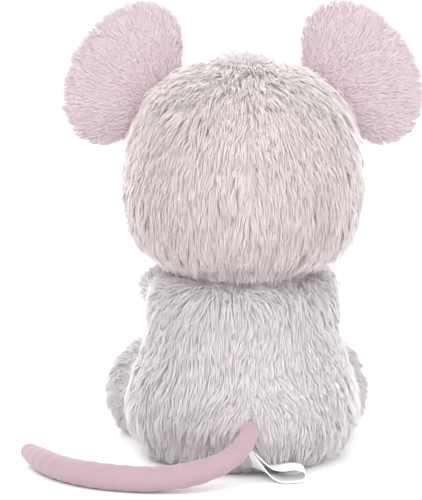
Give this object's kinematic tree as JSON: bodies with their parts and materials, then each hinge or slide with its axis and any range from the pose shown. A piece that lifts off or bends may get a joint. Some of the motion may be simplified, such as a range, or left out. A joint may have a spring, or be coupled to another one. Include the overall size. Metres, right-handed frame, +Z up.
{
  "type": "plush mouse",
  "caption": "Seated plush mouse toy with large round ears, short limbs, a long curved tail and a soft stuffed body.",
  "frame": {"origin": "centre of the flat seat, on the surface that the mouse sits on", "axes": "+Z up, -Y the way the face looks, +X towards the mouse's own left side"},
  "size_m": [0.1555, 0.1243, 0.1774],
  "materials": {
    "body_fur": "soft medium pile, matt",
    "head_fur": "soft medium pile with a faint blush, matt",
    "pink_lining": "short pile, matt",
    "pink_pile": "short velour pile, soft sheen",
    "stuffing": "polyester fibre",
    "cotton_bag": "plain woven cotton",
    "pellets": "small beads",
    "black_gloss": "polished",
    "pink_gloss": "satin polish",
    "white_nylon": "moulded",
    "satin_ribbon": "satin weave, soft sheen"
  },
  "bodies": {
    "torso": {"body_back_left": "body_fur", "body_back_right": "body_fur", "body_front": "body_fur", "base_left": "body_fur", "base_right": "body_fur", "body_stuffing": "stuffing", "pellet_bag": "cotton_bag", "pellet_fill": "pellets"},
    "neck_core": {"neck_plug": "stuffing"},
    "neck_cover": {"neck_sleeve": "body_fur"},
    "head": {"head_back_left": "head_fur", "head_back_right": "head_fur", "face_left": "head_fur", "face_right": "head_fur", "face_gusset": "head_fur", "head_stuffing": "stuffing", "muzzle_skin": "head_fur", "muzzle_stuffing": "stuffing", "eye_left": "black_gloss", "eye_right": "black_gloss", "eye_washer_left": "white_nylon", "eye_washer_right": "white_nylon", "nose": "pink_gloss", "nose_washer": "white_nylon"},
    "ear_left": {"ear_back_left": "head_fur", "ear_lining_left": "pink_lining"},
    "ear_right": {"ear_back_right": "head_fur", "ear_lining_right": "pink_lining"},
    "arm_left": {"arm_skin_left": "body_fur", "arm_stuffing_left": "stuffing"},
    "arm_right": {"arm_skin_right": "body_fur", "arm_stuffing_right": "stuffing"},
    "leg_left": {"leg_skin_left": "body_fur", "leg_stuffing_left": "stuffing", "sole_left": "pink_lining"},
    "leg_right": {"leg_skin_right": "body_fur", "leg_stuffing_right": "stuffing", "sole_right": "pink_lining"},
    "tail_base": {"tail_root": "pink_pile"},
    "tail_first": {"tail_skin_1": "pink_pile", "tail_stuffing_1": "stuffing"},
    "tail_middle": {"tail_skin_2": "pink_pile", "tail_stuffing_2": "stuffing"},
    "tail_end": {"tail_skin_3": "pink_pile", "tail_stuffing_3": "stuffing"},
    "label_loop": {"label": "satin_ribbon"}
  },
  "joints": [
    {"name": "head_turn", "type": "hinge", "parent": "torso", "child": "neck_core", "pos_m": [0, 0, 0.0755], "axis": [0, 0, 1], "range_deg": [-45, 45], "stiffness_Nm_per_rad": 0.1},
    {"name": "head_nod", "type": "hinge", "parent": "neck_core", "child": "neck_cover", "pos_m": [0, 0, 0.0755], "axis": [1, 0, 0], "range_deg": [-10, 10], "stiffness_Nm_per_rad": 0.25},
    {"name": "head_tilt", "type": "hinge", "parent": "neck_cover", "child": "head", "pos_m": [0, 0, 0.0755], "axis": [0, 1, 0], "range_deg": [-7, 7], "stiffness_Nm_per_rad": 0.25},
    {"name": "ear_left_fold", "type": "hinge", "parent": "head", "child": "ear_left", "pos_m": [0.03699, -0.00575, 0.14437], "axis": [0.5327, 0.1132, -0.8387], "range_deg": [-20, 45], "stiffness_Nm_per_rad": 0.02},
    {"name": "ear_right_fold", "type": "hinge", "parent": "head", "child": "ear_right", "pos_m": [-0.03699, -0.00575, 0.14437], "axis": [0.5327, -0.1132, 0.8387], "range_deg": [-20, 45], "stiffness_Nm_per_rad": 0.02},
    {"name": "arm_left_swing", "type": "hinge", "parent": "torso", "child": "arm_left", "pos_m": [0.02851, -0.02392, 0.0625], "axis": [-0.766, 0.6428, 0], "range_deg": [-15, 20], "stiffness_Nm_per_rad": 0.02},
    {"name": "arm_right_swing", "type": "hinge", "parent": "torso", "child": "arm_right", "pos_m": [-0.02851, -0.02392, 0.0625], "axis": [-0.766, -0.6428, 0], "range_deg": [-15, 20], "stiffness_Nm_per_rad": 0.02},
    {"name": "leg_left_lift", "type": "hinge", "parent": "torso", "child": "leg_left", "pos_m": [0.02666, -0.03323, 0.0345], "axis": [-0.8192, -0.5736, 0], "range_deg": [0, 20], "stiffness_Nm_per_rad": 0.05},
    {"name": "leg_right_lift", "type": "hinge", "parent": "torso", "child": "leg_right", "pos_m": [-0.02666, -0.03323, 0.0345], "axis": [-0.8192, 0.5736, 0], "range_deg": [0, 20], "stiffness_Nm_per_rad": 0.05},
    {"name": "tail_swing", "type": "hinge", "parent": "torso", "child": "tail_base", "pos_m": [0, 0.04584, 0.01944], "axis": [0, 0, 1], "range_deg": [-5, 55], "stiffness_Nm_per_rad": 0.008},
    {"name": "tail_lift", "type": "hinge", "parent": "tail_base", "child": "tail_first", "pos_m": [0, 0.04584, 0.01944], "axis": [0.2, -0.9798, 0], "range_deg": [0, 45], "stiffness_Nm_per_rad": 0.01},
    {"name": "tail_bend_near", "type": "hinge", "parent": "tail_first", "child": "tail_middle", "pos_m": [0.018, 0.06034, 0.00811], "axis": [0, 0, 1], "range_deg": [-10, 45], "stiffness_Nm_per_rad": 0.005},
    {"name": "tail_bend_far", "type": "hinge", "parent": "tail_middle", "child": "tail_end", "pos_m": [0.051, 0.05634, 0.0051], "axis": [0, 0, 1], "range_deg": [-15, 45], "stiffness_Nm_per_rad": 0.003},
    {"name": "label_flap", "type": "hinge", "parent": "torso", "child": "label_loop", "pos_m": [-0.0002, 0.04023, 0.00845], "axis": [0, 1, 0], "range_deg": [0, 15], "stiffness_Nm_per_rad": 0.0005}
  ]
}
